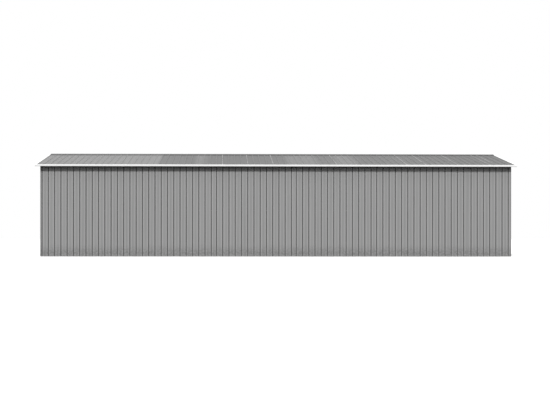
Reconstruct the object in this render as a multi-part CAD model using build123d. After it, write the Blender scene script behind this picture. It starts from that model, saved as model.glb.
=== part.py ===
"""Long ribbed-steel storage shed: a light steel frame clad in lapped sheets under a low double-pitch roof.

X runs along the ridge, -Y is the long side that faces the viewer, +Z is up, and the origin is on the
ground under the middle of the ridge. The doorway, with its two sliding leaves, is in the +X end.
"""

import os
from math import cos, radians, tan

from build123d import *

# Overall frame, measured over the outer faces of the rails and posts.
frame_length = 7660.0
frame_width = 2390.0
wall_height = 1496.0
roof_pitch = 12.2

# Ribbed sheet: one rolled profile, ribs inward on the walls and doors and upward on the roof.
sheet_thickness = 0.5
rib_base_width = 18.0
rib_crest_width = 12.0
rib_depth = 10.0
lap_width = 20.0
lap_clearance = 0.5
joggle_run = 2.0
sheet_ground_gap = 3.0
sheet_top_gap = 4.0

# Long walls: grooves in each sheet, and the gap across each seam as a share of the groove pitch.
wall_groove_counts = (15, 13, 13, 13, 15, 7)
seam_gap_shares = (1.0, 0.83, 0.79, 0.895, 1.195)
wall_left_margin = 30.0
wall_right_margin = 47.0

# End walls and gables.
end_groove_counts = (12, 11)
gable_joint_gap = 2.0
gable_strip_height = 44.0

# Roof sheets.
eave_overhang = 89.0
rake_overhang = 80.0
roof_rib_counts = (19, 19, 19, 19)
roof_edge_margin = 16.0
ridge_opening = 10.0

# Reach of a cutting shape past the faces it cuts.
cut_overrun = 10.0

# Cold-formed rails, posts, studs and roof bars.
rail_height = 45.0
rail_flange = 25.0
rail_thickness = 1.2
anchor_flange = 50.0
anchor_hole_radius = 5.0
anchor_hole_inset = 38.0
anchor_hole_end_inset = 300.0
post_leg = 40.0
stud_width = 40.0
bay_count = 4
mid_rail_share = 0.5
ridge_beam_wing = 70.0
ridge_beam_lip = 30.0
purlin_depth = 50.0
purlin_flange = 30.0
purlin_share = 0.5
rafter_depth = 45.0

# Edge trims and ridge cap.
trim_thickness = 0.8
fascia_height = 26.0
fascia_return = 15.0
eave_lip = 14.0
rake_leg = 22.0
corner_trim_leg = 13.0
ridge_cap_wing = 60.0
ridge_cap_lip = 8.0
ridge_cap_end_gap = 1.0
apex_gap = 1.0

# Doorway, tracks and leaves.
door_width = 1200.0
jamb_trim_leg = 26.0
leaf_overlap = 20.0
leaf_depth = 16.0
leaf_edge_flat = 60.0
leaf_groove_count = 5
leaf_reveal = 80.0
leaf_engagement = 10.0
track_clearance = 2.0
track_depth = 18.0
track_end_gap = 5.0
handle_width = 22.0
handle_thickness = 2.0
handle_foot = 18.0
handle_rise = 28.0
handle_grip = 110.0
handle_height_share = 0.62

# Sizes that follow from the ones above.
half_length = frame_length / 2
half_width = frame_width / 2
slope = tan(radians(roof_pitch))
slant = cos(radians(roof_pitch))
sheet_depth = rib_depth + sheet_thickness
leaf_width = door_width / 2 + leaf_overlap
roof_half_length = half_length + rake_overhang
roof_half_width = half_width + eave_overhang


def folded(path, thickness):
    """Closed outline of a bent strip: the path, and its mitred offset to the left of the way it runs."""
    points = [Vector(*p) for p in path]
    normals = []
    for start, end in zip(points, points[1:]):
        along = (end - start).normalized()
        normals.append(Vector(-along.Y, along.X))
    corners = zip([normals[0], *normals], [*normals, normals[-1]])
    offset = [
        point + (before + after) * (thickness / (1 + before.dot(after)))
        for point, (before, after) in zip(points, corners)
    ]
    return [(p.X, p.Y) for p in [*points, *reversed(offset)]]


def prism(points, direction):
    """Solid swept from a flat outline along a straight direction."""
    return Solid.extrude(Face(Wire.make_polygon(points)), Vector(*direction))


def along_x(outline, start, end):
    """Solid with a (y, z) outline, running along X."""
    return prism([(start, y, z) for y, z in outline], (end - start, 0, 0))


def along_y(outline, start, end):
    """Solid with an (x, z) outline, running along Y."""
    return prism([(x, start, z) for x, z in outline], (0, end - start, 0))


def upright(outline, bottom, top):
    """Solid with an (x, y) outline, standing along Z."""
    return prism([(x, y, bottom) for x, y in outline], (0, 0, top - bottom))


def underside(y):
    """Height of the roof sheets' flat underside above a place across the shed."""
    return wall_height + (half_width - abs(y)) * slope


def up_slope(outline, start, end):
    """Solid on the front slope with plumb ends. Its outline is (x, height square to the roof underside)."""
    points = [(x, start, underside(start) + h / slant) for x, h in outline]
    return prism(points, (0, end - start, underside(end) - underside(start)))


def back_of(solid):
    """The same piece on the back half."""
    return solid.mirror(Plane.XZ)


def far_end_of(solid):
    """The same piece at the other end."""
    return solid.mirror(Plane.YZ)


def node(name, *solids):
    """Writes one named piece, or a group of like pieces."""
    shape = solids[0] if len(solids) == 1 else Compound(list(solids))
    export_step(shape, os.path.join("parts", name + ".step"))


def ribbed_path(start, end, centres, flat, rib, step=0):
    """Sheet's lower face from start to end: flats at one height, a rib to another height at each centre.

    A sheet that laps its neighbour starts one step over or under the neighbour's edge, then joggles back."""
    path = [(start, flat)]
    if step:
        joggle = start + lap_width + lap_clearance
        path = [(start, flat + step), (joggle, flat + step), (joggle + joggle_run, flat)]
    for centre in centres:
        path += [
            (centre - rib_base_width / 2, flat),
            (centre - rib_crest_width / 2, rib),
            (centre + rib_crest_width / 2, rib),
            (centre + rib_base_width / 2, flat),
        ]
    return [*path, (end, flat)]


def lapped_sheets(start, end, groups, flat, rib, step):
    """Outlines of a row of sheets, one for each group of rib centres, lapped halfway between the groups."""
    seams = [(left[-1] + right[0]) / 2 for left, right in zip(groups, groups[1:])]
    starts = [start, *[seam - lap_width / 2 for seam in seams]]
    ends = [*[seam + lap_width / 2 for seam in seams], end]
    steps = [0, *[step for seam in seams]]
    return [
        folded(ribbed_path(*span, flat, rib, sheet_step), sheet_thickness)
        for *span, sheet_step in zip(starts, ends, groups, steps)
    ]


def split(centres, counts):
    """Cuts a list of rib centres into groups of the given sizes."""
    centres = list(centres)
    firsts = [sum(counts[:i]) for i in range(len(counts))]
    return [centres[first : first + count] for first, count in zip(firsts, counts)]


def channel(web, low_flange, high_flange):
    """Outline of a C section: its web stands on the line a = 0 and its flanges point to +a."""
    return folded([(high_flange, web), (0, web), (0, 0), (low_flange, 0)], rail_thickness)


def placed(outline, a_origin, a_sign, b_origin):
    """Moves an outline, turning its first axis round where a_sign is -1."""
    return [(a_origin + a_sign * a, b_origin + b) for a, b in outline]


def base_rails():
    """Rails on the ground: the side rails run through, with anchor holes, and the end rails fit between."""
    section = channel(rail_height, anchor_flange, rail_flange)
    front = along_x(placed(section, -half_width, 1, 0), -half_length, half_length)
    for x in (anchor_hole_end_inset - half_length, half_length - anchor_hole_end_inset):
        hole = Cylinder(anchor_hole_radius, rail_thickness + cut_overrun)
        front -= Pos(x, anchor_hole_inset - half_width, 0) * hole
    front = front.solids()[0]
    reach = half_width - anchor_flange
    left = along_y(placed(section, -half_length, 1, 0), -reach, reach)
    node("side_base_rails", front, back_of(front))
    node("end_base_rails", left, far_end_of(left))


def top_rails():
    """Rails that close the frame at the eaves: side rails run through, and end rails fit between."""
    section = channel(rail_height, rail_flange, rail_flange)
    bottom = wall_height - rail_height
    front = along_x(placed(section, -half_width, 1, bottom), -half_length, half_length)
    reach = half_width - rail_flange
    left = along_y(placed(section, -half_length, 1, bottom), -reach, reach)
    node("side_top_rails", front, back_of(front))
    node("end_top_rails", left, far_end_of(left))


def stud_positions():
    """Places along the shed where a stud stands in each long wall, under a pair of rafters."""
    bay = frame_length / bay_count
    return [bay * i - half_length for i in range(1, bay_count)]


def stud_section(flange):
    """Channel outline (along the wall, into the shed) with its web on the wall line."""
    half = stud_width / 2
    return folded([(half, flange), (half, 0), (-half, 0), (-half, flange)], -rail_thickness)


def uprights():
    """Corner angles, and studs in the long walls and beside the doorway, between base and top rails."""
    bottom = rail_height
    top = wall_height - rail_height
    angle = folded([(0, post_leg), (0, 0), (post_leg, 0)], rail_thickness)
    corner = upright([(x - half_length, y - half_width) for x, y in angle], bottom, top)
    corners = [corner, back_of(corner)]
    studs = [
        upright([(x + a, b - half_width) for a, b in stud_section(rail_flange)], bottom, top)
        for x in stud_positions()
    ]
    middle = door_width / 2 + stud_width / 2
    jamb = upright([(half_length - b, a - middle) for a, b in stud_section(rail_flange)], bottom, top)
    studs.append(jamb)
    node("corner_posts", *corners, *[far_end_of(post) for post in corners])
    node("wall_studs", *studs, *[back_of(stud) for stud in studs])


def mid_rails():
    """Rails at half height, cut to fit between the posts, studs and jambs."""
    section = channel(rail_height, rail_flange, rail_flange)
    bottom = wall_height * mid_rail_share - rail_height / 2
    half_stud = stud_width / 2
    starts = [post_leg - half_length, *[x + half_stud for x in stud_positions()]]
    ends = [*[x - half_stud for x in stud_positions()], half_length - post_leg]
    side = placed(section, -half_width, 1, bottom)
    front = [along_x(side, start, end) for start, end in zip(starts, ends)]
    reach = half_width - post_leg
    left = along_y(placed(section, -half_length, 1, bottom), -reach, reach)
    beside_door = along_y(placed(section, half_length, -1, bottom), -reach, -door_width / 2 - stud_width)
    node("side_mid_rails", *front, *[back_of(rail) for rail in front])
    node("end_mid_rails", left, beside_door, back_of(beside_door))


def roof_bars():
    """Ridge beam and purlins under the roof sheets, and rafters that carry the purlins from the studs."""
    wing = ridge_beam_wing * slant
    tip = underside(wing)
    apex = underside(0)
    beam = folded(
        [(wing, tip - ridge_beam_lip), (wing, tip), (0, apex), (-wing, tip), (-wing, tip - ridge_beam_lip)],
        rail_thickness,
    )
    node("ridge_beam", along_x(beam, -half_length, half_length))

    purlin = folded(
        [(purlin_flange, 0), (0, 0), (0, -purlin_depth), (purlin_flange, -purlin_depth)], rail_thickness
    )
    y = -half_width * purlin_share
    rise = slope * slant
    outline = [(y + a * slant - b * rise, underside(y) + a * rise + b * slant) for a, b in purlin]
    front_purlin = along_x(outline, -half_length, half_length)
    node("purlins", front_purlin, back_of(front_purlin))

    half = stud_width / 2
    top = -purlin_depth
    bottom = top - rafter_depth
    rafter = folded([(half, bottom), (half, top), (-half, top), (-half, bottom)], rail_thickness)
    foot = rail_flange - half_width
    front = [up_slope([(x + a, h) for a, h in rafter], foot, -apex_gap / 2) for x in stud_positions()]
    node("rafters", *front, *[back_of(bar) for bar in front])


def long_wall_groups():
    """Groove centres of each sheet in a long wall."""
    steps = sum(wall_groove_counts) - len(wall_groove_counts) + sum(seam_gap_shares)
    run = frame_length + 2 * sheet_depth
    pitch = (run - wall_left_margin - wall_right_margin) / steps
    groups = []
    first = wall_left_margin - run / 2
    for count, gap_share in zip(wall_groove_counts, [*seam_gap_shares, 0]):
        groups.append([first + pitch * i for i in range(count)])
        first = groups[-1][-1] + pitch * gap_share
    return groups


def long_walls():
    """Lapped sheets of the long walls, screwed to the rails through their groove bottoms."""
    reach = half_length + sheet_depth
    top = wall_height - sheet_top_gap
    sheets = lapped_sheets(-reach, reach, long_wall_groups(), rib_depth, 0, -sheet_thickness)
    for number, outline in enumerate(sheets, 1):
        sheet = upright([(s, -half_width - h) for s, h in outline], sheet_ground_gap, top)
        node(f"front_wall_sheet_{number}", sheet)
        node(f"back_wall_sheet_{number}", back_of(sheet))


def end_groove_centres():
    """Groove centres across an end wall."""
    count = sum(end_groove_counts)
    pitch = frame_width / count
    return [pitch * (i + 0.5) - half_width for i in range(count)]


def end_walls():
    """Sheets of the end walls up to the eaves, gable sheets above them and a strip over each joint."""
    joint = wall_height - rail_height / 2
    centres = end_groove_centres()
    groups = split(centres, end_groove_counts)
    sheets = lapped_sheets(-half_width, half_width, groups, rib_depth, 0, -sheet_thickness)
    for name, outline in zip(("left_end_sheet_front", "left_end_sheet_back"), sheets):
        sheet = upright([(-half_length - h, s) for s, h in outline], sheet_ground_gap, joint)
        node(name, sheet)

    jamb = -door_width / 2
    beside_door = [c for c in centres if c + rib_base_width / 2 + jamb_trim_leg <= jamb]
    outline = folded(ribbed_path(-half_width, jamb, beside_door, rib_depth, 0), sheet_thickness)
    sheet = upright([(half_length + h, s) for s, h in outline], sheet_ground_gap, joint)
    node("right_end_sheets", sheet, back_of(sheet))

    outline = folded(ribbed_path(-half_width, half_width, centres, rib_depth, 0), sheet_thickness)
    bottom = joint + gable_joint_gap
    full = upright([(-half_length - h, s) for s, h in outline], bottom, underside(0))
    eave = underside(half_width) - sheet_top_gap
    apex = underside(0) - sheet_top_gap
    profile = [(-half_width, bottom), (half_width, bottom), (half_width, eave), (0, apex), (-half_width, eave)]
    gable = (full & along_x(profile, -half_length - sheet_depth - cut_overrun, 0)).solids()[0]
    node("gable_sheets", gable, far_end_of(gable))

    face = -half_length - sheet_depth
    strip_bottom = joint + (gable_joint_gap - gable_strip_height) / 2
    strip_top = strip_bottom + gable_strip_height
    strip = [(face, strip_bottom), (face, strip_top), (face - trim_thickness, strip_top)]
    strip.append((face - trim_thickness, strip_bottom))
    reach = half_width + sheet_depth - corner_trim_leg
    left = along_y(strip, -reach, reach)
    node("gable_strips", left, far_end_of(left))


def corner_trims():
    """Outside angles over the sheet edges at the four corners."""
    leg = corner_trim_leg
    angle = folded([(leg, 0), (0, 0), (0, leg)], trim_thickness)
    x = half_length + sheet_depth
    y = half_width + sheet_depth
    top = underside(y + trim_thickness) - sheet_top_gap
    front = upright([(a - x, b - y) for a, b in angle], sheet_ground_gap, top)
    pair = [front, back_of(front)]
    node("corner_trims", *pair, *[far_end_of(trim) for trim in pair])


def roof_sheets():
    """Lapped roof sheets, ribs upward, from a narrow opening at the ridge to the eaves."""
    count = sum(roof_rib_counts)
    pitch = 2 * (roof_half_length - roof_edge_margin) / (count - 1)
    centres = [pitch * i + roof_edge_margin - roof_half_length for i in range(count)]
    groups = split(centres, roof_rib_counts)
    sheets = lapped_sheets(-roof_half_length, roof_half_length, groups, 0, rib_depth, sheet_thickness)
    for number, outline in enumerate(sheets, 1):
        sheet = up_slope(outline, -roof_half_width, -ridge_opening)
        node(f"front_roof_sheet_{number}", sheet)
        node(f"back_roof_sheet_{number}", back_of(sheet))


def roof_trims():
    """Rake angles on the roof ends, eave channels over the sheet ends, and the ridge cap."""
    end = roof_half_length
    crest = sheet_depth
    drop = fascia_height * slant - trim_thickness
    angle = [(rake_leg - end, crest), (-end, crest), (-end, crest - drop)]
    front = up_slope(folded(angle, -trim_thickness), -roof_half_width, -apex_gap / 2)
    halves = [front, back_of(front)]
    node("rake_trims", *halves, *[far_end_of(trim) for trim in halves])

    eave = -roof_half_width
    lip = eave + eave_lip * slant
    above_rake = (crest + trim_thickness) / slant
    top = underside(eave) + above_rake
    bottom = top - fascia_height
    path = [(lip, underside(lip) + above_rake), (eave, top), (eave, bottom), (eave + fascia_return, bottom)]
    reach = end + trim_thickness
    fascia = along_x(folded(path, -trim_thickness), -reach, reach)
    node("eave_trims", fascia, back_of(fascia))

    tip = ridge_cap_wing * slant
    seat = underside(tip) + crest / slant
    shoulder = seat + ridge_cap_lip
    apex = shoulder + tip * slope
    cap = folded([(-tip, seat), (-tip, shoulder), (0, apex), (tip, shoulder), (tip, seat)], sheet_thickness)
    reach = end - rake_leg - ridge_cap_end_gap
    node("ridge_cap", along_x(cap, -reach, reach))


def doorway():
    """Trims, tracks, two leaves parked open behind the end sheets, and their pull handles."""
    jamb = door_width / 2
    face = half_length + sheet_depth
    sill = rail_height
    head = wall_height - rail_height
    wrap = [(face, -jamb - jamb_trim_leg), (face, -jamb), (half_length - rail_flange, -jamb)]
    trim = upright(folded(wrap, -trim_thickness), sill, head)
    node("door_jamb_trims", trim, back_of(trim))

    outer = half_length - rail_flange
    track_width = leaf_depth + 2 * (track_clearance + trim_thickness)
    inner = outer - track_width
    reach = half_width - rail_flange - track_end_gap
    floor = rail_thickness
    trough = [(outer, floor + track_depth), (outer, floor), (inner, floor), (inner, floor + track_depth)]
    mouth = head - track_depth / 2
    roof = mouth + track_depth
    hood = [(outer, mouth), (outer, roof), (inner, roof), (inner, mouth)]
    bottom_track = along_y(folded(trough, -trim_thickness), -reach, reach)
    top_track = along_y(folded(hood, trim_thickness), -reach, reach)
    node("door_tracks", bottom_track, top_track)

    leaf_face = outer - trim_thickness - track_clearance
    lead = leaf_reveal - jamb
    trail = lead - leaf_width
    pitch = (leaf_width - 2 * leaf_edge_flat) / (leaf_groove_count - 1)
    centres = [trail + leaf_edge_flat + pitch * i for i in range(leaf_groove_count)]
    pan = ribbed_path(trail, lead, centres, 0, -rib_depth)
    pan = [(trail, -leaf_depth), *pan, (lead, -leaf_depth)]
    leaf_bottom = floor + trim_thickness
    leaf_top = mouth + leaf_engagement
    outline = folded(pan, -sheet_thickness)
    leaf = upright([(leaf_face + h, s) for s, h in outline], leaf_bottom, leaf_top)
    node("door_leaf_front", leaf)
    node("door_leaf_back", back_of(leaf))

    foot = wall_height * handle_height_share - handle_grip / 2 - handle_foot
    grip = foot + handle_foot
    path = [
        (leaf_face, foot),
        (leaf_face, grip),
        (leaf_face + handle_rise, grip),
        (leaf_face + handle_rise, grip + handle_grip),
        (leaf_face, grip + handle_grip),
        (leaf_face, grip + handle_grip + handle_foot),
    ]
    middle = lead - leaf_edge_flat / 2
    strap = folded(path, -handle_thickness)
    pull = along_y(strap, middle - handle_width / 2, middle + handle_width / 2)
    node("door_handles", pull, back_of(pull))


os.makedirs("parts", exist_ok=True)
base_rails()
top_rails()
uprights()
mid_rails()
roof_bars()
long_walls()
end_walls()
corner_trims()
roof_sheets()
roof_trims()
doorway()
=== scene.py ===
import math

import bpy
import numpy as np
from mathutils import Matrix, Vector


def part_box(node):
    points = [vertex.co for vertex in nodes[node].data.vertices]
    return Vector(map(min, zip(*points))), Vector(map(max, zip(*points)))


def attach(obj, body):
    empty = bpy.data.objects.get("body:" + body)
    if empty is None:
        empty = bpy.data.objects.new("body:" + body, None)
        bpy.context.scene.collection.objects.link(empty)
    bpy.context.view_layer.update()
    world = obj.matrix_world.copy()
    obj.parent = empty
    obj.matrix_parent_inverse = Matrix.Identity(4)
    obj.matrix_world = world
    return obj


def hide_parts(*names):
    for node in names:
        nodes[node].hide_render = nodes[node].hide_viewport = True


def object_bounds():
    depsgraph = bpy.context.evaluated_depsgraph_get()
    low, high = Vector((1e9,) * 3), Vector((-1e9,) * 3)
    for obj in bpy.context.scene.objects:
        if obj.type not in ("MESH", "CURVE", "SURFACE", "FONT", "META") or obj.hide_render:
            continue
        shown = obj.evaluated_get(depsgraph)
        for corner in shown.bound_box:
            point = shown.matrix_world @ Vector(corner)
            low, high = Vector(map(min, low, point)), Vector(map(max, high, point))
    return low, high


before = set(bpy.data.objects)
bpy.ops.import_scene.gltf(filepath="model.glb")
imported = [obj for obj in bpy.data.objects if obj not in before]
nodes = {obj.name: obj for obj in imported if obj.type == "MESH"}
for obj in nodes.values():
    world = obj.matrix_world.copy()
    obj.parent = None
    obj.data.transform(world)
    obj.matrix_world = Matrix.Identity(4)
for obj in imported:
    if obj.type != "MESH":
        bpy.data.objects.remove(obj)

cad_low, cad_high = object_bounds()


# Steel frame. Rails, posts, studs, purlins, rafters, the ridge beam and the door tracks are channels and
# angles folded from galvanised strip and bolted together inside the cladding.
# The zinc shows a fine spangle and dull patches, and it is dusty near the ground.

frame_pieces = (
    "side_base_rails", "end_base_rails", "side_mid_rails", "end_mid_rails", "side_top_rails", "end_top_rails",
    "corner_posts", "wall_studs", "ridge_beam", "purlins", "rafters", "door_tracks",
)
zinc_light = (0.60, 0.61, 0.62, 1)
zinc_dark = (0.46, 0.47, 0.48, 1)
frame_dust = (0.30, 0.29, 0.27, 1)
spangle_scale, dull_scale, zinc_grain_scale = 70, 6, 400
dull_edges = (0.4, 0.7)
zinc_relief = 0.00004
frame_dust_top, frame_dust_full, frame_dust_wander, frame_dust_scale = 0.12, 0.02, 0.1, 9


class Wire:
    """One output of a finish's nodes. Sums on wires add Math nodes, and node() adds any other node."""

    def __init__(self, tree, output=None):
        self.tree = tree
        self.output = output

    def node(self, kind, settings, sockets, result=0):
        """Adds a node of a kind to the tree, first its settings, then its sockets' values or links."""
        made = self.tree.nodes.new("ShaderNode" + kind)
        for setting, value in settings.items():
            setattr(made, setting, value)
        for socket, value in sockets.items():
            if isinstance(value, Wire):
                self.tree.links.new(value.output, made.inputs[socket])
            else:
                made.inputs[socket].default_value = value
        return Wire(self.tree, made.outputs[result])

    def maths(self, operation, first, second):
        """Adds a Math node that works on two wires or numbers."""
        return self.node("Math", {"operation": operation}, {0: first, 1: second})

    def __add__(self, other):
        return self.maths("ADD", self, other)

    def __sub__(self, other):
        return self.maths("SUBTRACT", self, other)

    def __rsub__(self, other):
        return self.maths("SUBTRACT", other, self)

    def __mul__(self, other):
        return self.maths("MULTIPLY", self, other)

    __radd__ = __add__
    __rmul__ = __mul__


def start_finish(name):
    """A new finish and the wire of its place on the shed, in metres."""
    finish = bpy.data.materials.new(name)
    finish.use_nodes = True
    return finish, Wire(finish.node_tree).node("TexCoord", {}, {}, "Object")


def axis_of(place, axis):
    """Distance from the origin along X, Y or Z. Along Z it is the height above the ground."""
    return place.node("SeparateXYZ", {}, {0: place}, axis)


def mottle(place, scale, detail=3.0, stretch=(1, 1, 1)):
    """Soft noise from 0 to 1. A small stretch along an axis draws the noise out into streaks along it."""
    pulled = place.node("VectorMath", {"operation": "MULTIPLY"}, {0: place, 1: stretch})
    return pulled.node("TexNoise", {}, {"Vector": pulled, "Scale": scale, "Detail": detail})


def climb(value, low, high):
    """0 below low, 1 above high and a smooth climb between. With low above high it falls instead."""
    return value.node(
        "MapRange", {"interpolation_type": "SMOOTHSTEP"}, {"Value": value, "From Min": low, "From Max": high}
    )


def tint(share, plain, marked):
    """The plain colour, turning into the marked one as the share goes from 0 to 1."""
    return share.node("Mix", {"data_type": "RGBA"}, {0: share, 6: plain, 7: marked}, 2)


def close_finish(finish, relief, relief_height, sockets):
    """Gives the finish's shader its sockets and a bump, in which a relief of 1 is relief_height metres."""
    shader = finish.node_tree.nodes["Principled BSDF"]
    sockets["Normal"] = relief.node("Bump", {}, {"Height": relief, "Distance": relief_height}, "Normal")
    for socket, value in sockets.items():
        if isinstance(value, Wire):
            finish.node_tree.links.new(value.output, shader.inputs[socket])
        else:
            shader.inputs[socket].default_value = value


zinc_finish, place = start_finish("galvanised_steel")
crystal = place.node("TexVoronoi", {}, {"Vector": place, "Scale": spangle_scale}, "Color")
crystal = crystal.node("SeparateColor", {}, {0: crystal})
dull = climb(mottle(place, dull_scale), *dull_edges)
dust_height = axis_of(place, "Z") + frame_dust_wander * mottle(place, frame_dust_scale)
dusty = climb(dust_height, frame_dust_top, frame_dust_full)
colour = tint(crystal * 0.6 + dull * 0.4, zinc_light, zinc_dark)
close_finish(zinc_finish, crystal + mottle(place, zinc_grain_scale), zinc_relief, {
    "Base Color": tint(dusty * 0.5, colour, frame_dust),
    "Metallic": 1 - dusty * 0.6,
    "Roughness": 0.34 + crystal * 0.12 + dull * 0.14 + dusty * 0.25,
})
for piece in frame_pieces:
    nodes[piece].material_slots[0].material = zinc_finish


# Long walls. Each is six lapped sheets of half-millimetre coated steel, rolled with narrow inward grooves.
# The sheets stand just clear of the ground and are screwed to the rails through their groove bottoms,
# so that the flats between the grooves bow slightly in or out between the rails.

sheet_thickness = 0.0005
rib_base, rib_crest, rib_depth = 0.018, 0.012, 0.010
sheet_bend = 0.0024
lap, joggle_run = 0.0205, 0.002
swell_height, swell_reach, swell_turn = 0.0005, 0.030, 2.4
rib_edge_width = 0.030
wall_sheet_count = 6
wall_rows = np.linspace(0, 1, 17)
wall_grey = (0.262, 0.262, 0.262, 1)
wall_pale = (0.318, 0.318, 0.318, 1)
wall_lip_highlight = (0.410, 0.410, 0.410, 1)
wall_dark_and_shade = (0.168, 0.168, 0.166, 1)
groove_dust_and_shade = (0.048, 0.048, 0.048, 1)
wall_streak_stretch = (34, 34, 0.9)
streak_edges, dust_and_shade_edges, dust_and_shade_share = (0.25, 0.75), (0.25, 0.95), 0.92
cloud_scale, speck_scale, speck_edges, speck_share = 1.3, 260, (0.66, 0.74), 0.16
coat_relief, coat_grain_scale, wall_dimple_scale, dimple_share = 0.00006, 700, 18, 3
low_darkening_top, low_darkening_full, low_darkening_wander, low_darkening_thin = 0.26, 0.07, 0.08, 0.04
low_darkening_scale, low_patch_scale, low_patch_edges, low_darkening_share = 9, 38, (0.35, 0.65), 0.6
wall_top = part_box("front_wall_sheet_1")[1].z
under_eave_shade_drop, top_band_shade_drop, top_band_shade_full_drop = 0.392, 0.072, 0.037
under_eave_shade_share, top_band_shade_share = 0.14, 0.55
close = 0.001
sharp_fold = math.radians(40)
along_shed, across_shed, upward = np.eye(3)


def corners_of(node):
    """Corner points of a CAD node, one row each."""
    mesh = nodes[node].data
    values = np.empty(3 * len(mesh.vertices))
    mesh.vertices.foreach_get("co", values)
    return values.reshape(-1, 3)


def rib_lines(spread, reach, level):
    """Middle lines of a sheet's ribs: its corners at the ribs' level come in pairs, one pair to a rib."""
    edges = np.sort(spread[np.abs(reach - level) < close / 10])
    edges = edges[np.diff(edges, prepend=-np.inf) > close]
    return edges.reshape(-1, 2).mean(axis=1)


def rounded(corners, bend, steps=4, most_share=0.45):
    """A folded path with soft bends: a parabola takes each inner corner, from one bend length before it to
    one bend length after it, or the most share of a leg that is too short for that."""
    corners = np.asarray(corners, float)
    legs = np.diff(corners, axis=0)
    length = np.linalg.norm(legs, axis=1)
    cut = np.minimum(bend, most_share * np.minimum(length[:-1], length[1:]))[:, None]
    way = legs / length[:, None]
    middle = corners[1:-1]
    before, after = middle - cut * way[:-1], middle + cut * way[1:]
    on = np.linspace(0, 1, steps)[:, None]
    off = 1 - on
    bends = off ** 2 * before[:, None] + 2 * on * off * middle[:, None] + on ** 2 * after[:, None]
    return np.concatenate([corners[:1], bends.reshape(-1, 2), corners[-1:]])


def divided(path, longest, shares=(0.2, 0.4, 0.6, 0.8)):
    """The same path with more points, at the given shares of every leg that is longer than the longest."""
    station = np.concatenate([[0], np.cumsum(np.linalg.norm(np.diff(path, axis=0), axis=1))])
    length = np.diff(station)
    long_legs = length > longest
    extra = station[:-1][long_legs][:, None] + length[long_legs][:, None] * np.array(shares)
    station_all = np.sort(np.concatenate([station, extra.ravel()]))
    return np.stack([np.interp(station_all, station, column) for column in path.T], axis=1)


def ribbed_path(start, end, ribs, flat, rib, step=0):
    """Lower face of a rolled sheet as (along, out) corners: flats at one level and a rib to another at each
    rib line. An edge that laps a neighbour lies one step out of the flats and joggles back."""
    along = ribs[:, None] + np.array([-rib_base, -rib_crest, rib_crest, rib_base]) / 2
    out = np.broadcast_to([flat, rib, rib, flat], along.shape)
    edge = [(start, flat)]
    if step:
        edge = [(start, flat + step), (start + lap, flat + step), (start + lap + joggle_run, flat)]
    folds = np.stack([along.ravel(), out.ravel()], axis=1)
    return np.concatenate([edge, folds, [(end, flat)]])


def swelling(ribs, start, end, swell):
    """How far a flat bows out at a place along the sheet and a share of its height: nothing at a rib or an
    edge, and between them a height that turns from flat to flat, held to nothing at the rails."""
    held = np.concatenate([[start], ribs, [end]])

    def bow(along, share):
        gap = np.abs(along[..., None] - held).min(axis=-1) - rib_base / 2
        free = np.clip(gap / swell_reach, 0, 1) ** 2
        turn = np.cos(swell_turn * np.searchsorted(ribs, along))
        return swell * free * turn * np.sin(2 * np.pi * share) ** 2

    return bow


def strip(path, thickness, rows, place):
    """A bent strip as a closed skin. The path, in (along, out) points, and the same path moved a thickness to
    its left make one ring; the ring is carried along the rows, where place(along, out, row) gives each point,
    and both ends are closed between the two faces."""
    way = np.gradient(path, axis=0)
    left = np.stack([-way[:, 1], way[:, 0]], axis=1) / np.linalg.norm(way, axis=1)[:, None]
    ring = np.concatenate([path, (path + thickness * left)[::-1]])
    points = place(ring[:, :1], ring[:, 1:], rows[None, :]).reshape(-1, 3)
    grid = np.arange(len(points)).reshape(len(ring), -1)
    after = np.roll(grid, -1, axis=0)
    sides = np.stack([grid[:, :-1], after[:, :-1], after[:, 1:], grid[:, 1:]], axis=-1).reshape(-1, 4)
    near, far = grid[: len(path)], grid[: len(path) - 1 : -1]
    ends = np.stack([near[:-1], far[:-1], far[1:], near[1:]], axis=-1)
    quads = np.concatenate([sides, ends[:, 0], ends[:, -1, ::-1]])
    return points, [outward(points, quads)]


def outward(points, faces):
    """The faces, turned round where the skin would enclose a negative volume."""
    first, *others = (points[column] for column in faces.T)
    volume = sum((first * np.cross(second, third)).sum() for second, third in zip(others, others[1:]))
    return faces if volume > 0 else faces[:, ::-1]


def spot(along, out, up, way, face):
    """Points from places along a way, distances out of a face and heights, all broadcast together."""
    along, out, up = np.broadcast_arrays(along, out, up)
    return along[..., None] * way + out[..., None] * face + up[..., None] * upward


def assemble(name, parts, finish, slot, *replaced):
    """One named piece made of closed skins, with a finish. Each part is its points, its faces as arrays of
    one width each, and any marks that its finish reads. The piece is shaded smooth but for folds sharper than
    sharp_fold, rides on the shed and stands for the CAD nodes that it replaces."""
    firsts = np.cumsum([0, *[len(part[0]) for part in parts]])
    groups = [group + first for part, first in zip(parts, firsts) for group in part[1]]
    mesh = bpy.data.meshes.new(name)
    mesh.from_pydata(
        np.concatenate([part[0] for part in parts]).tolist(), [],
        [face for group in groups for face in group.tolist()],
    )
    for mark in parts[0][2] if len(parts[0]) > 2 else {}:
        values = np.concatenate([part[2][mark] for part in parts]).astype(np.float32)
        mesh.attributes.new(mark, "FLOAT", "POINT").data.foreach_set("value", values)
    mesh.shade_smooth()
    mesh.set_sharp_from_angle(angle=sharp_fold)
    mesh.materials.append(finish)
    piece = bpy.data.objects.new(name, mesh)
    bpy.context.scene.collection.objects.link(piece)
    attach(piece, "root")
    if replaced:
        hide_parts(*replaced)


def mark_of(place, mark):
    """A mark that the piece carries on its points."""
    return place.node("Attribute", {"attribute_name": mark}, {}, "Fac")


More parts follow.
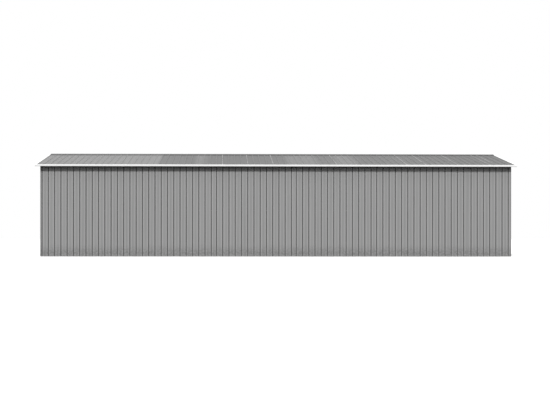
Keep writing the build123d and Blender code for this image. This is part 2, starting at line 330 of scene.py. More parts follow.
def rib_marks(along, rise, ribs):
    """Marks on a sheet's points: rib_depth goes from 0 on the flats to 1 on a rib's floor or crest, and
    rib_edge from 1 at a rib's foot to 0 a little way out on the flats."""
    gap = np.abs(along[:, None] - ribs).min(axis=1) - rib_base / 2
    inside = gap < close
    return {
        "rib_depth": np.where(inside, np.clip(rise / rib_depth, 0, 1), 0),
        "rib_edge": np.where(inside, 0, np.clip(1 - gap / rib_edge_width, 0, 1)),
    }


def upright_sheet(ribs, start, end, step, way, face, line, foot, head, swell=swell_height):
    """Skin of a standing sheet: its groove bottoms lie on a line out from the middle of the shed along face,
    and its height at a place along the wall runs from the foot to head(along)."""
    path = divided(rounded(ribbed_path(start, end, ribs, rib_depth, 0, step), sheet_bend), rib_base)
    bow = swelling(ribs, start, end, swell)
    points, faces = strip(
        path, sheet_thickness, wall_rows,
        lambda along, out, row: spot(
            along, line + out + bow(along, row), foot + row * (head(along) - foot), way, face
        ),
    )
    return points, faces, rib_marks(points @ way, line + rib_depth - points @ face, ribs)


def level_sheet(corners, way, face, step=0):
    """Skin of a standing sheet that is cut level, between the lowest and highest of a CAD sheet's corners,
    and the face, line and places of its grooves."""
    along, out, up = corners @ way, corners @ face, corners @ upward
    line = out.min()
    ribs = rib_lines(along, out, line)
    sheet = upright_sheet(
        ribs, along.min(), along.max(), step, way, face, line, up.min(), lambda along: up.max()
    )
    return sheet, (face, line, ribs)


wall_finish, place = start_finish("grey_wall_coat")
height = axis_of(place, "Z")
cloud = mottle(place, cloud_scale)
streak = mottle(place, 1, detail=4, stretch=wall_streak_stretch)
speck = climb(mottle(place, speck_scale, detail=2), *speck_edges)
# The wall is painted darker towards the bottom, in patches.
low_darkening_height = height + low_darkening_wander * mottle(place, low_darkening_scale, detail=4)
low_darkening = climb(low_darkening_height, low_darkening_top, low_darkening_full)
low_darkening = low_darkening * (0.35 + 0.85 * climb(mottle(place, low_patch_scale), *low_patch_edges))
low_darkening = low_darkening * (0.4 + 0.6 * climb(height, 0, low_darkening_thin))
# Painted shade under the eaves: the wall is painted darker towards its top, and most in a band just under the
# trim.
under_eave_shade = climb(height, wall_top - under_eave_shade_drop, wall_top - top_band_shade_drop)
top_band_shade = climb(height, wall_top - top_band_shade_drop, wall_top - top_band_shade_full_drop)
groove, lip = mark_of(place, "rib_depth"), mark_of(place, "rib_edge")
# Dust and painted shade: the grooves are painted dark, for dust in them and for the shade in the recess.
settled_dust_and_shade = climb(groove, *dust_and_shade_edges) * (0.55 + 0.45 * streak)
colour = tint(cloud * 0.35 + climb(streak, *streak_edges) * 0.65, wall_grey, wall_pale)
# Painted highlight: the flats just beside each groove are painted paler, where the folds would catch the
# light.
colour = tint(lip * (0.7 + 0.3 * streak), colour, wall_lip_highlight)
colour = tint(settled_dust_and_shade * dust_and_shade_share, colour, groove_dust_and_shade)
colour = tint(speck * speck_share, colour, wall_pale)
darkening_and_shade = low_darkening * low_darkening_share + under_eave_shade * under_eave_shade_share + top_band_shade * top_band_shade_share
grain = mottle(place, coat_grain_scale, detail=2)
dimple = mottle(place, wall_dimple_scale, detail=2)
close_finish(wall_finish, grain + dimple_share * dimple, coat_relief, {
    "Base Color": tint(darkening_and_shade, colour, wall_dark_and_shade),
    "Roughness": 0.46 + cloud * 0.12 + low_darkening * 0.2 + settled_dust_and_shade * 0.12,
    "Specular IOR Level": 0.3,
})
wall_grooves, wall_seams = [], []
for side, face in (("front", -across_shed), ("back", across_shed)):
    for number in range(1, wall_sheet_count + 1):
        node = f"{side}_wall_sheet_{number}"
        corners = corners_of(node)
        step = 0 if number == 1 else -sheet_thickness
        sheet, grooves = level_sheet(corners, along_shed, face, step)
        assemble("rolled_" + node, [sheet], wall_finish, "wall_sheet", node)
        wall_grooves.append(grooves)
        if step:
            wall_seams.append((face, grooves[1], corners[:, 0].min() + lap / 2))


# End walls, of the same sheet screwed to the end rails. The plain end has two lapped sheets and the doorway
# end one on each side of the opening, all cut level under the eaves. A gable sheet, cut to the slope of the
# roof, closes the triangle above each of them.

end_grooves = []
for node, step in (("left_end_sheet_front", 0), ("left_end_sheet_back", -sheet_thickness)):
    sheet, grooves = level_sheet(corners_of(node), across_shed, -along_shed, step)
    assemble("rolled_" + node, [sheet], wall_finish, "wall_sheet", node)
    end_grooves.append(grooves)

corners = corners_of("right_end_sheets")
door_side_sheets = []
for side in (-1, 1):
    sheet, grooves = level_sheet(corners[corners[:, 1] * side > 0], across_shed, along_shed)
    door_side_sheets.append(sheet)
    end_grooves.append(grooves)
assemble("rolled_right_end_sheets", door_side_sheets, wall_finish, "wall_sheet", "right_end_sheets")

eave_corners = corners_of("front_roof_sheet_1")
eave_reach, ridge_reach = -eave_corners[:, 1].min(), -eave_corners[:, 1].max()
at_eave, at_ridge = (
    eave_corners[np.abs(eave_corners[:, 1] + reach) < close, 2].min() for reach in (eave_reach, ridge_reach)
)
roof_slope = (at_ridge - at_eave) / (eave_reach - ridge_reach)
roof_slant = math.cos(math.atan(roof_slope))

corners = corners_of("gable_sheets")
low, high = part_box("gable_sheets")
foot_corners = corners[(corners[:, 2] < low.z + close) & (corners[:, 0] < 0)]
line = -foot_corners[:, 0].max()
gable_grooves = rib_lines(foot_corners[:, 1], -foot_corners[:, 0], line)
gables = [
    upright_sheet(
        gable_grooves, low.y, high.y, 0, across_shed, face, line, low.z,
        lambda along: high.z - roof_slope * np.abs(along), swell=0,
    )
    for face in (-along_shed, along_shed)
]
assemble("rolled_gable_sheets", gables, wall_finish, "wall_sheet", "gable_sheets")


# Corner trims. A narrow outside angle of coated strip covers the raw sheet edges at each corner of the shed.
# It is folded once and riveted through both legs, and dust and painted shade darken it along its edges.

trim_thickness = 0.0008
corner_leg = 0.013
trim_bend = 0.0016
edge_dust_and_shade_share = 0.75
plain_rows = np.linspace(0, 1, 5)

low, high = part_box("corner_trims")
corner_x, corner_y = high.x - trim_thickness, high.y - trim_thickness
angle = rounded([(corner_leg, 0), (0, 0), (0, corner_leg)], trim_bend)


def corner_spot(end, side):
    """Points of a corner angle from distances in along the two walls and a share of its height."""
    return lambda inset, depth, row: spot(
        end * (corner_x - inset), side * (corner_y - depth), low.z + row * (high.z - low.z),
        along_shed, across_shed,
    )


def edge_dust_and_shade_marks(points):
    """Marks of a corner angle: dust and painted shade grow from none at its fold to a share at each raw edge.
    """
    inset = np.maximum(corner_x - np.abs(points[:, 0]), corner_y - np.abs(points[:, 1]))
    return {
        "rib_depth": edge_dust_and_shade_share * np.clip(inset / corner_leg, 0, 1),
        "rib_edge": np.zeros(len(points)),
    }


corner_angles = []
for end in (-1, 1):
    for side in (-1, 1):
        points, faces = strip(angle, trim_thickness, plain_rows, corner_spot(end, side))
        corner_angles.append((points, faces, edge_dust_and_shade_marks(points)))
assemble("folded_corner_trims", corner_angles, wall_finish, "wall_sheet", "corner_trims")


# Roof. Four lapped sheets on each slope, of the same coated steel with its ribs upward, run from the eaves to
# a narrow opening under the ridge cap. Rain draws dirt down the flats. Painted sheen makes one end paler, and
# a few flats of the near slope too. A few of its crests carry a painted highlight, and the very top is
# darker.

roof_sheet_count = 4
roof_grey = (0.152, 0.152, 0.152, 1)
roof_pale = (0.275, 0.275, 0.275, 1)
roof_grime = (0.150, 0.150, 0.149, 1)
ridge_dark = (0.060, 0.060, 0.060, 1)
ridge_dark_drop, ridge_dark_full_drop = 0.018, 0.010
end_sheen_start, end_sheen_full = -1.90, -1.96
pale_flats = ((-1.33, -1.17), (0.20, 0.69), (1.04, 1.33))
pale_edge, pale_fade = 0.03, 0.1
near_slope_start, near_slope_full = -0.06, -0.07
end_sheen_share, far_end_sheen_share, pale_share = 0.63, 0.4, 0.34
roof_band_stretch, band_edges, band_share = (1.5, 0.2, 0.2), (0.3, 0.7), 0.12
roof_streak_stretch, streak_share, foot_dirt_share = (36, 1.1, 1.1), 0.12, 0.22
fleck_scale, fleck_edges, fleck_share = 190, (0.64, 0.72), 0.25
roof_dimple_scale = 16
worn_pale = (0.42, 0.42, 0.42, 1)
worn_places = (-0.84, -0.45, -0.10, 1.01, 2.14, 2.48, 2.91, 3.43, 3.54)
worn_reach, worn_edges = 0.051, (0.3, 0.9)
worn_patch_scale, worn_patch_edges, worn_share = 4, (0.25, 0.6), 0.55


def roof_height(reach, rise):
    """Height on the roof at a reach out from the ridge line, a rise square to the sheets' underside."""
    return at_eave + (eave_reach - reach) * roof_slope + rise / roof_slant


def slope_spot(side, bow=None):
    """Points on one slope from places along the shed, heights square to the roof's underside, and a share of
    the way from eave to ridge; the ends are plumb."""

    def points(along, out, row):
        reach = eave_reach + row * (ridge_reach - eave_reach)
        lift = out if bow is None else out + bow(along, row)
        return spot(along, side * reach, roof_height(reach, lift), along_shed, across_shed)

    return points


def crest_highlight_mark(along, rise, ribs):
    """Mark of a painted highlight: from 0 at the foot to 1 on the crest of each rib next to a highlight
    place.
    """
    worn_ribs = np.abs(ribs[:, None] - np.array(worn_places)).min(axis=1) < worn_reach
    nearest = np.abs(along[:, None] - ribs).argmin(axis=1)
    return worn_ribs[nearest] * np.clip(rise / rib_depth, 0, 1)


roof_finish, place = start_finish("grey_roof_coat")
along, across, height = (axis_of(place, axis) for axis in "XYZ")
near_slope = climb(across, near_slope_start, near_slope_full)
# Painted sheen: the roof is painted paler at its left end and on a few flats of the near slope.
end_sheen = climb(along, end_sheen_start, end_sheen_full) * (far_end_sheen_share + (1 - far_end_sheen_share) * near_slope)
pale = near_slope * sum(
    climb(along, first - pale_edge, first + pale_edge) * climb(along, last + pale_fade, last - pale_fade)
    for first, last in pale_flats
)
band = climb(mottle(place, 1, detail=2, stretch=roof_band_stretch), *band_edges)
streak = mottle(place, 1, detail=4, stretch=roof_streak_stretch)
fleck = climb(mottle(place, fleck_scale), *fleck_edges)
crest, foot = mark_of(place, "rib_depth"), mark_of(place, "rib_edge")
# Painted highlight on a few rib crests of the near slope.
worn = near_slope * climb(mark_of(place, "worn_crest"), *worn_edges)
worn = worn * climb(mottle(place, worn_patch_scale, detail=2), *worn_patch_edges)
# The colour darkens along the very top of the ridge.
at_top = climb(height, cad_high.z - ridge_dark_drop, cad_high.z - ridge_dark_full_drop)
paler = end_sheen * end_sheen_share + pale * pale_share + band * band_share + streak * streak_share
colour = tint(paler, roof_grey, roof_pale)
colour = tint(foot * foot * foot_dirt_share * streak, colour, roof_grime)
colour = tint(worn * worn_share, colour, worn_pale)
colour = tint(at_top * (0.4 + 0.3 * streak), colour, ridge_dark)
grain = mottle(place, coat_grain_scale, detail=2)
dimple = mottle(place, roof_dimple_scale, detail=2)
close_finish(roof_finish, grain + dimple_share * dimple, coat_relief, {
    "Base Color": tint(fleck * fleck_share, colour, roof_grime),
    "Roughness": 0.56 + streak * 0.14 - crest * 0.08,
    "Specular IOR Level": 0.15,
})
roof_ribs = []
for side, name in ((-1, "front"), (1, "back")):
    for number in range(1, roof_sheet_count + 1):
        node = f"{name}_roof_sheet_{number}"
        corners = corners_of(node)
        rise = corners[:, 2] - roof_height(np.abs(corners[:, 1]), 0)
        ribs = rib_lines(corners[:, 0], rise, rise.max())
        low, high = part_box(node)
        step = 0 if number == 1 else sheet_thickness
        path = divided(rounded(ribbed_path(low.x, high.x, ribs, 0, rib_depth, step), sheet_bend), rib_base)
        bow = swelling(ribs, low.x, high.x, swell_height)
        points, faces = strip(path, sheet_thickness, wall_rows, slope_spot(side, bow))
        rise = (points[:, 2] - roof_height(np.abs(points[:, 1]), 0)) * roof_slant
        marks = rib_marks(points[:, 0], rise, ribs)
        marks["worn_crest"] = crest_highlight_mark(points[:, 0], rise, ribs)
        assemble("rolled_" + node, [(points, faces, marks)], roof_finish, "roof_sheet", node)
        roof_ribs.append((side, ribs))


# Ridge cap. One shallow folded strip closes the opening at the top. Its turned-down lips are notched over the
# ribs and stand on their crests, with a tongue down to the flat between each two ribs.
# Screws through the crests hold it.

cap_lip = 0.008
cap_bend = 0.006
tongue_gap = 0.0015

low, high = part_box("ridge_cap")
cap_tip = high.y - sheet_thickness
cap_shoulder = low.z + cap_lip
cap_apex = cap_shoulder + cap_tip * roof_slope
cap_path = rounded([
    (-cap_tip, low.z), (-cap_tip, cap_shoulder), (0, cap_apex), (cap_tip, cap_shoulder), (cap_tip, low.z),
], cap_bend)
cap = strip(
    cap_path, sheet_thickness, plain_rows,
    lambda across, up, row: spot(low.x + row * (high.x - low.x), across, up, along_shed, across_shed),
)
tongue_path = np.array([(cap_tip, roof_height(cap_tip, sheet_thickness) + tongue_gap), (cap_tip, low.z)])
tongues = []
for side in (-1, 1):
    lines = np.concatenate([ribs for slope, ribs in roof_ribs if slope == side])
    for left, right in zip(lines + rib_base / 2, lines[1:] - rib_base / 2):
        tongues.append(strip(
            tongue_path, sheet_thickness, np.array([left, right]),
            lambda across, up, along: spot(along, side * across, up, along_shed, across_shed),
        ))
assemble("folded_ridge_cap", [cap, *tongues], roof_finish, "roof_sheet", "ridge_cap")


# White edge trims. Folded strip with a white coat finishes the roof: a channel over the sheet ends along each
# eave and an angle down each rake. A flat strip covers the joint under each gable. Small screws hold them.
# Rain leaves faint runs, and dirt and painted shade darken the eaves' drip edges.

fascia_height, fascia_return, eave_lip = 0.026, 0.015, 0.014
rake_leg, rake_drop = 0.022, fascia_height * roof_slant - trim_thickness
rake_rise = rib_depth + sheet_thickness
white_coat = (0.93, 0.93, 0.93, 1)
white_dull = (0.86, 0.86, 0.857, 1)
white_grime = (0.46, 0.457, 0.45, 1)
white_cloud_scale, white_dull_share = 4, 0.35
rain_run_stretch, rain_run_edges, rain_run_share = (60, 60, 3), (0.52, 0.8), 0.10
drip_shade_height, drip_shade_share = 0.007, 0.45
white_speck_scale, white_speck_edges, white_speck_share = 320, (0.68, 0.75), 0.2
white_relief, white_grain_scale = 0.00005, 600

low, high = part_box("eave_trims")
eave_bottom = low.z + trim_thickness
eave_top = eave_bottom + fascia_height

white_finish, place = start_finish("white_trim_coat")
cloud = mottle(place, white_cloud_scale)
run = climb(mottle(place, 1, detail=4, stretch=rain_run_stretch), *rain_run_edges)
speck = climb(mottle(place, white_speck_scale, detail=2), *white_speck_edges)
# Dirt and painted shade: the white is painted darker at the eaves' lower edge and below it.
drip_dirt_and_shade = climb(axis_of(place, "Z"), eave_bottom + drip_shade_height, eave_bottom)
colour = tint(cloud * white_dull_share, white_coat, white_dull)
colour = tint(run * rain_run_share + drip_dirt_and_shade * drip_shade_share, colour, white_grime)
close_finish(white_finish, mottle(place, white_grain_scale, detail=2), white_relief, {
    "Base Color": tint(speck * white_speck_share, colour, white_grime),
    "Roughness": 0.36 + cloud * 0.14 + run * 0.15,
    "Specular IOR Level": 0.35,
})

lip_run = eave_lip * roof_slant
eave_path = rounded([
    (eave_reach - lip_run, eave_top + lip_run * roof_slope), (eave_reach, eave_top),
    (eave_reach, eave_bottom), (eave_reach - fascia_return, eave_bottom),
], trim_bend)
eaves = [
    strip(
        eave_path, trim_thickness, plain_rows,
        lambda reach, up, row: spot(
            low.x + row * (high.x - low.x), side * reach, up, along_shed, across_shed
        ),
    )
    for side in (-1, 1)
]
assemble("folded_eave_trims", eaves, white_finish, "white_trim", "eave_trims")

low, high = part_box("rake_trims")
rake_end = high.x - trim_thickness
rake_path = rounded([(rake_leg, rake_rise), (0, rake_rise), (0, rake_rise - rake_drop)], trim_bend)
rake_rows = plain_rows * eave_reach / (eave_reach - ridge_reach)
rakes = []
for side in (-1, 1):
    on_slope = slope_spot(side)
    for end in (-1, 1):
        rakes.append(strip(
            rake_path, -trim_thickness, rake_rows,
            lambda inset, rise, row: on_slope(end * (rake_end - inset), rise, row),
        ))
assemble("folded_rake_trims", rakes, white_finish, "white_trim", "rake_trims")
nodes["gable_strips"].material_slots[0].material = white_finish


# Doorway. White angles wrap the cut sheets beside the opening. Two ribbed leaves hang in the tracks and are
# parked open behind the end sheets, each with a bent strap for a pull.

jamb_leg = 0.026
leaf_depth = 0.016
pull_width, pull_thickness, pull_foot, pull_rise, pull_bend = 0.022, 0.002, 0.018, 0.028, 0.007
pull_bend_steps = 6

low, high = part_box("door_jamb_trims")
jamb_face, jamb = high.x - trim_thickness, high.y - jamb_leg
jamb_path = rounded([(jamb_face, jamb + jamb_leg), (jamb_face, jamb), (low.x, jamb)], trim_bend)
jambs = [
    strip(
        jamb_path, trim_thickness, plain_rows,
        lambda along, reach, row: spot(
            along, side * reach, low.z + row * (high.z - low.z), along_shed, across_shed
        ),
    )
    for side in (-1, 1)
]
assemble("folded_door_jamb_trims", jambs, white_finish, "white_trim", "door_jamb_trims")

for node in ("door_leaf_front", "door_leaf_back"):
    corners = corners_of(node)
    low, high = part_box(node)
    ribs = rib_lines(corners[:, 1], corners[:, 0], high.x - rib_depth)
    pan = ribbed_path(low.y, high.y, ribs, 0, -rib_depth)
    pan = np.concatenate([[(low.y, -leaf_depth)], pan, [(high.y, -leaf_depth)]])
    points, faces = strip(
        divided(rounded(pan, sheet_bend), rib_base), -sheet_thickness, plain_rows,
        lambda across, out, row: spot(
            across, high.x + out, low.z + row * (high.z - low.z), across_shed, along_shed
        ),
    )
    leaf = (points, faces, rib_marks(points[:, 1], high.x - points[:, 0], ribs))
    assemble("rolled_" + node, [leaf], wall_finish, "wall_sheet", node)

low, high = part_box("door_handles")
grip_low, grip_high = low.z + pull_foot, high.z - pull_foot
pull_path = rounded([
    (low.x, low.z), (low.x, grip_low), (low.x + pull_rise, grip_low), (low.x + pull_rise, grip_high),
    (low.x, grip_high), (low.x, high.z),
], pull_bend, pull_bend_steps)
pulls = [
    strip(
        pull_path, -pull_thickness, plain_rows,
        lambda along, up, row: spot(along, side * (high.y - pull_width * row), up, along_shed, across_shed),
    )
    for side in (-1, 1)
]
assemble("bent_door_handles", pulls, white_finish, "white_trim", "door_handles")
pull_line = high.y - pull_width / 2
pull_bolt_heights = (low.z + pull_foot / 2, high.z - pull_foot / 2)
pull_bolt_face = low.x + pull_thickness


# Frame plates. A flat plate on each side of every rafter's foot ties it to the stud below, and another pair
# ties each two rafters together at the ridge. They are sheared from galvanised strip and bolted through.

plate_thickness, plate_gap, plate_head_gap = 0.002, 0.002, 0.001
stud_half, stud_depth = 0.020, 0.025
knee_drop, knee_reach, apex_reach = 0.115, 0.110, 0.130
rafter_top, rafter_bottom = 0.050, 0.095
stud_bolt_inset, stud_bolt_drops = 0.012, (0.09, 0.03)
knee_bolt_reaches, apex_bolt_reaches = (0.030, 0.085), (-0.10, -0.04, 0.04, 0.10)


def flat_plate(outline, start, end):
    """A closed plate: an outline of (across, up) corners, and the same outline moved along the shed by the
    plate's thickness, with a side between each two corners."""
    across, up = np.transpose(outline)
    if (across * np.roll(up, -1) - np.roll(across, -1) * up).sum() < 0:
        across, up = across[::-1], up[::-1]
    points = np.concatenate([spot(along, across, up, along_shed, across_shed) for along in (start, end)])
    ring = np.arange(len(across))
    after = np.roll(ring, -1)
    count = len(ring)
    sides = np.stack([ring, after, after + count, ring + count], axis=1)
    return points, [sides, np.stack([ring[::-1], ring + count])]


def under_roof(across, depth):
    """A place across the shed and its height, a depth square to the roof's underside."""
    return across, roof_height(abs(across), -depth)


corners = corners_of("wall_studs")
frame_reach = corners[:, 1].max()
stud_lines = rib_lines(corners[:, 0], corners[:, 1], frame_reach)
stud_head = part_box("wall_studs")[1].z
outer, inner = frame_reach - plate_gap, frame_reach - stud_depth
knee_tip = inner - knee_reach
knee = np.array([
    (outer, stud_head - knee_drop), (inner, stud_head - knee_drop),
    under_roof(knee_tip, rafter_bottom), under_roof(knee_tip, rafter_top), under_roof(inner, rafter_top),
    (outer, stud_head - plate_head_gap),
])
apex = np.array(
    [under_roof(across, rafter_bottom) for across in (-apex_reach, 0, apex_reach)]
    + [under_roof(across, rafter_top) for across in (apex_reach, 0, -apex_reach)]
)
rafter_middle = (rafter_top + rafter_bottom) / 2
knee_bolts = np.array(
    [(frame_reach - stud_bolt_inset, stud_head - drop) for drop in stud_bolt_drops]
    + [under_roof(inner - reach, rafter_middle) for reach in knee_bolt_reaches]
)
apex_bolts = np.array([under_roof(across, rafter_middle) for across in apex_bolt_reaches])
sheared, bolt_spots = [], []
for stud in stud_lines:
    for end in (-1, 1):
        near = stud + end * stud_half
        far = near + end * plate_thickness
        for outline, bolts in (
            (knee, knee_bolts), (knee * (-1, 1), knee_bolts * (-1, 1)), (apex, apex_bolts),
        ):
            sheared.append(flat_plate(outline, min(near, far), max(near, far)))
            spots = spot(far, bolts[:, 0], bolts[:, 1], along_shed, across_shed)
            bolt_spots.append((spots, end * along_shed))
assemble("frame_plates", sheared, zinc_finish, "frame_steel")


# Fixings. Hexagon-headed screws on sealing washers hold the wall sheets to the rails in every second groove
# and the roof sheets to purlins and eave rails through every second crest. Smaller ones hold the seams, the
# ridge cap and the trims, and bolts hold the door pulls and the frame plates.

head_sides = 12
washer_radius, washer_height = 0.0062, 0.0011
head_radius, head_foot, head_height = 0.0043, 0.0013, 0.0044
crown_radius, crown_height = 0.0035, 0.0050
wall_head_share, seam_head_share, roof_head_share, cap_head_share = 0.58, 0.5, 0.9, 0.8
lip_head_share, trim_head_share, rivet_share, pull_head_share, bolt_share = 0.55, 0.6, 0.4, 0.75, 1.0
seam_heights = (0.20, 0.42, 0.64, 0.96, 1.18, 1.36)
purlin_screw_inset, eave_screw_inset = 0.014, 0.012
cap_screw_share, rivet_inset_share = 0.66, 0.55
rake_screw_reaches = np.linspace(0.10, 1.15, 5)
strip_screw_offset = 0.012
jamb_screw_heights = np.linspace(0.12, 1.38, 6)
rivet_heights = np.linspace(0.08, 1.40, 6)
plated = (0.58, 0.58, 0.57, 1)
plated_dull = (0.36, 0.355, 0.34, 1)
rubber = (0.035, 0.035, 0.036, 1)
plated_dull_scale, plated_dull_edges = 90, (0.35, 0.7)
plated_relief, plated_grain_scale = 0.00005, 900

head_rings = np.array([
    (washer_radius, 0), (washer_radius, washer_height),
    (head_radius, head_foot), (head_radius, head_height), (crown_radius, crown_height),
])
washer_rings = np.array([1, 1, 0, 0, 0])


def heads(spots, face, scale):
    """Screw heads on a face: rings of one radius and height each, round for the washer and with six flats for
    the head, carried round the screw's axis, and the same shape set down at every spot."""
    side = along_shed if abs(face @ along_shed) < 0.5 else across_shed
    turn = np.arange(head_sides) * 2 * np.pi / head_sides
    flats = np.where(np.arange(head_sides) % 2, math.cos(np.pi / 6), 1)
    radius = head_rings[:, :1] * np.where(washer_rings[:, None], 1, flats)
    around = np.cos(turn)[:, None] * side + np.sin(turn)[:, None] * np.cross(face, side)
    shape = radius[..., None] * around + head_rings[:, 1, None, None] * face
    points = (np.asarray(spots)[:, None, None] + scale * shape).reshape(-1, 3)
    grid = np.arange(radius.size).reshape(radius.shape)
    after = np.roll(grid, -1, axis=1)
    sides = np.stack([grid[:-1], after[:-1], after[1:], grid[1:]], axis=-1).reshape(-1, 4)
    caps = np.stack([grid[0, ::-1], grid[-1]])
    shift = (np.arange(len(spots)) * radius.size)[:, None, None]
    faces = [(sides + shift).reshape(-1, 4), (caps + shift).reshape(-1, head_sides)]
    return points, faces, {"washer": np.tile(np.repeat(washer_rings, head_sides), len(spots))}


def on_wall(along, line, heights, face):
    """Spots in rows on a wall: every place along it at every height."""
    way = np.abs(np.cross(face, upward))
    return spot(np.asarray(along)[:, None], line, np.asarray(heights)[None, :], way, face).reshape(-1, 3)


def middle_height(node):
    """Height of the middle of a rail or strip."""
    low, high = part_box(node)
    return (low.z + high.z) / 2


def on_roof(along, side, reach, rise):
    """Spots along one slope at a reach out from the ridge line, a rise square to the sheets' underside."""
    return spot(np.asarray(along), side * reach, roof_height(reach, rise), along_shed, across_shed)


def slope_face(side):
    """Way that one slope faces."""
    return np.array([0, side * roof_slope, 1]) * roof_slant


fixing_finish, place = start_finish("plated_fixings")
washer = mark_of(place, "washer")
dull = climb(mottle(place, plated_dull_scale), *plated_dull_edges)
close_finish(fixing_finish, mottle(place, plated_grain_scale, detail=2), plated_relief, {
    "Base Color": tint(washer, tint(dull, plated, plated_dull), rubber),
    "Metallic": 0.9 - washer * 0.9,
    "Roughness": 0.34 + dull * 0.2 + washer * 0.3,
})

rail_heights = [middle_height(node) for node in ("side_base_rails", "side_mid_rails", "side_top_rails")]
wall_screws = [
    heads(on_wall(ribs[::2], line + sheet_thickness, heights, face), face, wall_head_share)
    for grooves, heights in ((wall_grooves, rail_heights), (end_grooves, rail_heights[:2]))
    for face, line, ribs in grooves
]
assemble("wall_screws", wall_screws, fixing_finish, "frame_steel")

seam_screws = [
    heads(on_wall([seam], line + rib_depth + sheet_thickness, seam_heights, face), face, seam_head_share)
    for face, line, seam in wall_seams
]
assemble("seam_screws", seam_screws, wall_finish, "wall_sheet")

screw_reaches = (
    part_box("purlins")[1].y - purlin_screw_inset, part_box("side_top_rails")[1].y - eave_screw_inset,
)
roof_screws = [
    heads(on_roof(ribs[1::2], side, reach, rake_rise), slope_face(side), roof_head_share)
    for side, ribs in roof_ribs for reach in screw_reaches
]
assemble("roof_screws", roof_screws, fixing_finish, "frame_steel")

cap_reach = cap_tip * cap_screw_share
cap_rise = (cap_apex - roof_height(0, 0)) * roof_slant + sheet_thickness
cap_screws = [
    heads(on_roof(ribs[1::3], side, cap_reach, cap_rise), slope_face(side), cap_head_share)
    for side, ribs in roof_ribs
]
assemble("ridge_cap_screws", cap_screws, fixing_finish, "frame_steel")

lip_rise = (eave_top - at_eave) * roof_slant + trim_thickness
trim_screws = [
    heads(on_roof(ribs[2::4], side, eave_reach - lip_run / 2, lip_rise), slope_face(side), lip_head_share)
    for side, ribs in roof_ribs
]
rake_line = np.full(len(rake_screw_reaches), rake_end - rake_leg / 2)
trim_screws += [
    heads(
        on_roof(end * rake_line, side, rake_screw_reaches, rake_rise + trim_thickness),
        slope_face(side), trim_head_share,
    )
    for side in (-1, 1) for end in (-1, 1)
]
strip_flats = ((gable_grooves[1:] + gable_grooves[:-1]) / 2)[1::2]
strip_heights = middle_height("gable_strips") + strip_screw_offset * np.array([-1, 1])
strip_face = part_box("gable_strips")[1].x
trim_screws += [
    heads(on_wall(strip_flats, strip_face, strip_heights, face), face, trim_head_share)
    for face in (-along_shed, along_shed)
]
jamb_line = jamb + jamb_leg / 2
trim_screws.append(heads(
    on_wall([-jamb_line, jamb_line], jamb_face + trim_thickness, jamb_screw_heights, along_shed),
    along_shed, trim_head_share,
))
assemble("trim_screws", trim_screws, white_finish, "white_trim")

rivet_inset = corner_leg * rivet_inset_share
corner_rivets = [
    heads(
        on_wall([rivet_inset - reach, reach - rivet_inset], out + trim_thickness, rivet_heights, face),
        face, rivet_share,
    )
    for reach, out, way in ((corner_x, corner_y, across_shed), (corner_y, corner_x, along_shed))
    for face in (-way, way)
]
assemble("corner_rivets", corner_rivets, wall_finish, "wall_sheet")

pull_bolts = heads(
    on_wall([-pull_line, pull_line], pull_bolt_face, pull_bolt_heights, along_shed),
    along_shed, pull_head_share,
)
assemble("pull_bolts", [pull_bolts], fixing_finish, "frame_steel")
frame_bolts = [heads(spots, face, bolt_share) for spots, face in bolt_spots]
assemble("frame_bolts", frame_bolts, fixing_finish, "frame_steel")


# Ground. A plain white floor, which keeps the shed's shadow. Outside it returns little light to the walls,
# and inside it returns as much as a pale floor does.

floor_size = 90
floor_seen = (0.93, 0.93, 0.93, 1)
floor_returned = (0.03, 0.03, 0.03, 1)
floor_inside = (0.60, 0.60, 0.60, 1)
indoor_fade = 0.03


def seen_directly(tree):
    """1 where a ray comes from the camera, a reflection or glass, and 0 for scattered light."""
    camera, glossy, through = (
        Wire(tree).node("LightPath", {}, {}, kind)
        for kind in ("Is Camera Ray", "Is Glossy Ray", "Is Transmission Ray")
    )
    return camera.maths("MAXIMUM", camera, glossy.maths("MAXIMUM", glossy, through))


def within(distance, reach):
    """1 nearer to the middle than a reach on both sides, fading to 0 at it."""
    return climb(distance.maths("ABSOLUTE", distance, 0), reach, reach - indoor_fade)


floor_mesh = bpy.data.meshes.new("floor")
floor_mesh.from_pydata(
    [(x * floor_size / 2, y * floor_size / 2, 0) for x, y in ((-1, -1), (1, -1), (1, 1), (-1, 1))], [],
    [(0, 1, 2, 3)],
)
floor = bpy.data.objects.new("floor", floor_mesh)
bpy.context.scene.collection.objects.link(floor)
floor_finish, place = start_finish("white_floor")
shader = floor_finish.node_tree.nodes["Principled BSDF"]
shader.inputs["Specular IOR Level"].default_value = 0
shader.inputs["Roughness"].default_value = 1
frame_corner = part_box("side_base_rails")[1]
indoors = within(axis_of(place, "X"), frame_corner.x) * within(axis_of(place, "Y"), frame_corner.y)
returned = tint(indoors, floor_returned, floor_inside)
shown = tint(seen_directly(floor_finish.node_tree), returned, floor_seen)
floor_finish.node_tree.links.new(shown.output, shader.inputs["Base Color"])
floor_mesh.materials.append(floor_finish)


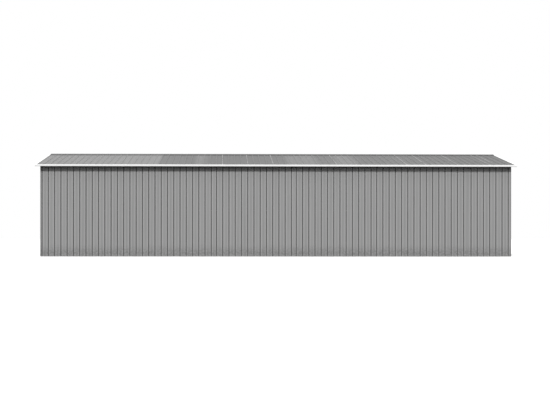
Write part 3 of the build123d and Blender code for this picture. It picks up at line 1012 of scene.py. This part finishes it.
# Light. A sun lamp high on the left in front, two weak wide ones low behind for the far sides, and an even
# pale sky that looks white in the picture.

sun_strength = 2.91
sun_spread = math.radians(9)
sun_way = np.array([-0.180, -0.690, 0.701])
right_fill_strength, left_fill_strength = 1.9, 1.1
fill_spread = math.radians(40)
fill_way = np.array([0.85, 0.50, 0.13])
sky_light = 0.55


def lamp(name, way, strength, spread):
    """A far lamp that shines from a way, with an angle across it that softens its shadows."""
    data = bpy.data.lights.new(name, "SUN")
    data.energy = strength
    data.angle = spread
    made = bpy.data.objects.new(name, data)
    made.rotation_euler = (math.atan2(math.hypot(way[0], way[1]), way[2]), 0, math.atan2(way[0], -way[1]))
    bpy.context.scene.collection.objects.link(made)


lamp("sun", sun_way, sun_strength, sun_spread)
lamp("right_fill", fill_way, right_fill_strength, fill_spread)
lamp("left_fill", fill_way * (-1, 1, 1), left_fill_strength, fill_spread)

sky = bpy.data.worlds.new("sky")
sky.use_nodes = True
background = sky.node_tree.nodes["Background"]
background.inputs["Color"].default_value = (1, 1, 1, 1)
sky_strength = seen_directly(sky.node_tree) * (1 - sky_light) + sky_light
sky.node_tree.links.new(sky_strength.output, background.inputs["Strength"])
bpy.context.scene.world = sky
bpy.context.scene.view_settings.view_transform = "Standard"


# Camera. It stands low, a long way back from the near long wall and a little left of its middle.
# A small lens shift puts the shed where the picture has it.

picture_width = 550
focal_pixels = 926.3
sensor_width = 36
camera_place = (-0.8272, -16.2943, 0.3717)
camera_turn = math.radians(-0.7985)
camera_roll = math.radians(-0.0373)
picture_centre_pixels = (36.33, 27.67)

camera_data = bpy.data.cameras.new("camera")
camera_data.sensor_width = sensor_width
camera_data.lens = focal_pixels / picture_width * sensor_width
camera_data.shift_x = picture_centre_pixels[0] / picture_width
camera_data.shift_y = picture_centre_pixels[1] / picture_width
camera = bpy.data.objects.new("camera", camera_data)
camera.location = camera_place
camera.rotation_euler = (math.pi / 2, camera_roll, camera_turn)
bpy.context.scene.collection.objects.link(camera)
bpy.context.scene.camera = camera
